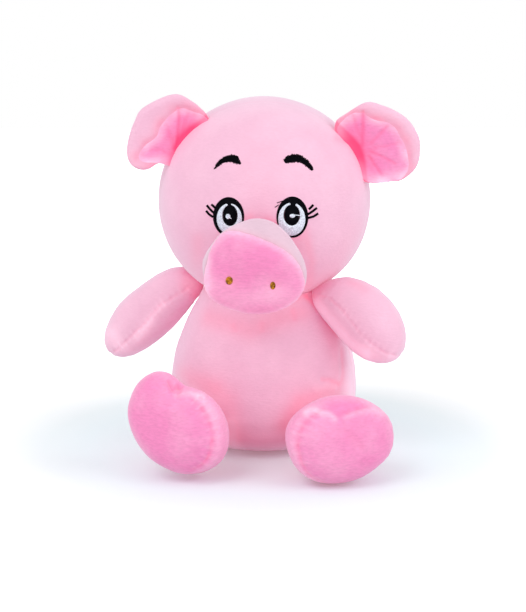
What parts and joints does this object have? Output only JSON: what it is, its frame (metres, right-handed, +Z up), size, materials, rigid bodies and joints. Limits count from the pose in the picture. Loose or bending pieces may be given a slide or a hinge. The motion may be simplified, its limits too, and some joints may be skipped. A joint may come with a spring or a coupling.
{
  "type": "plush pig",
  "caption": "Sitting stuffed toy pig with a round head, embroidered face, domed snout, floppy ears, short arms and big feet, each jointed at its sewn seam.",
  "frame": {"origin": "the middle of the flat seat that the toy sits on", "axes": "+Z up; the toy faces -Y; its own left side is +X"},
  "size_m": [0.1503, 0.1476, 0.1767],
  "materials": {
    "pale_pink_plush": "short-pile plush, matt with a pale sheen at the edges",
    "deep_pink_plush": "short-pile plush, matt with a pale sheen at the edges",
    "black_thread": "satin stitch in rayon thread, soft gloss",
    "white_thread": "satin stitch in rayon thread, soft gloss",
    "gold_thread": "tack stitch in golden-brown thread",
    "fibre_filling": "loose polyester fibre",
    "bag_cloth": "plain woven bag filled with pellets"
  },
  "bodies": {
    "torso": {"body_front_panel": "pale_pink_plush", "body_back_panel": "pale_pink_plush", "seat_panel": "pale_pink_plush", "body_stuffing": "fibre_filling", "pellet_bag": "bag_cloth"},
    "head": {"head_face_panel": "pale_pink_plush", "head_back_panel": "pale_pink_plush", "head_stuffing": "fibre_filling", "snout_gusset": "pale_pink_plush", "snout_face": "deep_pink_plush", "snout_stuffing": "fibre_filling", "nostril_left": "gold_thread", "eye_black_left": "black_thread", "eye_white_left": "white_thread", "eye_highlight_left": "white_thread", "eyelash_left_upper": "black_thread", "eyelash_left_middle": "black_thread", "eyelash_left_lower": "black_thread", "eyebrow_left": "black_thread", "nostril_right": "gold_thread", "eye_black_right": "black_thread", "eye_white_right": "white_thread", "eye_highlight_right": "white_thread", "eyelash_right_upper": "black_thread", "eyelash_right_middle": "black_thread", "eyelash_right_lower": "black_thread", "eyebrow_right": "black_thread"},
    "ear_left": {"ear_outer_left": "pale_pink_plush", "ear_lining_left": "deep_pink_plush"},
    "ear_right": {"ear_outer_right": "pale_pink_plush", "ear_lining_right": "deep_pink_plush"},
    "arm_left": {"arm_upper_panel_left": "pale_pink_plush", "arm_lower_panel_left": "pale_pink_plush", "arm_stuffing_left": "fibre_filling"},
    "arm_right": {"arm_upper_panel_right": "pale_pink_plush", "arm_lower_panel_right": "pale_pink_plush", "arm_stuffing_right": "fibre_filling"},
    "leg_left": {"leg_cover_left": "pale_pink_plush", "foot_upper_left": "deep_pink_plush", "foot_sole_left": "deep_pink_plush", "leg_stuffing_left": "fibre_filling"},
    "leg_right": {"leg_cover_right": "pale_pink_plush", "foot_upper_right": "deep_pink_plush", "foot_sole_right": "deep_pink_plush", "leg_stuffing_right": "fibre_filling"},
    "tail": {"tail": "pale_pink_plush"}
  },
  "joints": [
    {"name": "head_turn", "type": "hinge", "parent": "torso", "child": "head", "pos_m": [0, -0.0015, 0.1232], "axis": [0, 0, 1], "range_deg": [-25, 25], "stiffness_Nm_per_rad": 0.15},
    {"name": "arm_left_swing", "type": "hinge", "parent": "torso", "child": "arm_left", "pos_m": [0.02827, -0.01508, 0.07955], "axis": [-0.5299, -0.848, 0], "range_deg": [-5, 35], "stiffness_Nm_per_rad": 0.03, "springref_deg": 0.69},
    {"name": "arm_right_swing", "type": "hinge", "parent": "torso", "child": "arm_right", "pos_m": [-0.03186, 0.00449, 0.07955], "axis": [0.1392, 0.9903, 0], "range_deg": [-5, 35], "stiffness_Nm_per_rad": 0.03, "springref_deg": 0.69},
    {"name": "leg_left_swing", "type": "hinge", "parent": "torso", "child": "leg_left", "pos_m": [0.02211, -0.03875, 0.02], "axis": [-0.9397, -0.342, 0], "range_deg": [-15, 25], "stiffness_Nm_per_rad": 0.08, "springref_deg": 0.8},
    {"name": "leg_right_swing", "type": "hinge", "parent": "torso", "child": "leg_right", "pos_m": [-0.02651, -0.037, 0.02], "axis": [-0.9336, 0.3584, 0], "range_deg": [-15, 25], "stiffness_Nm_per_rad": 0.08, "springref_deg": 0.8},
    {"name": "ear_left_flop", "type": "hinge", "parent": "head", "child": "ear_left", "pos_m": [0.04519, -0.01741, 0.14877], "axis": [0.4924, 0, -0.8704], "range_deg": [-30, 30], "stiffness_Nm_per_rad": 0.01},
    {"name": "ear_right_flop", "type": "hinge", "parent": "head", "child": "ear_right", "pos_m": [-0.04091, -0.01741, 0.15516], "axis": [0.6157, 0, 0.788], "range_deg": [-30, 30], "stiffness_Nm_per_rad": 0.01},
    {"name": "tail_flick", "type": "hinge", "parent": "torso", "child": "tail", "pos_m": [0, 0.04203, 0.03], "axis": [1, 0, 0], "range_deg": [-20, 20], "stiffness_Nm_per_rad": 0.002}
  ]
}
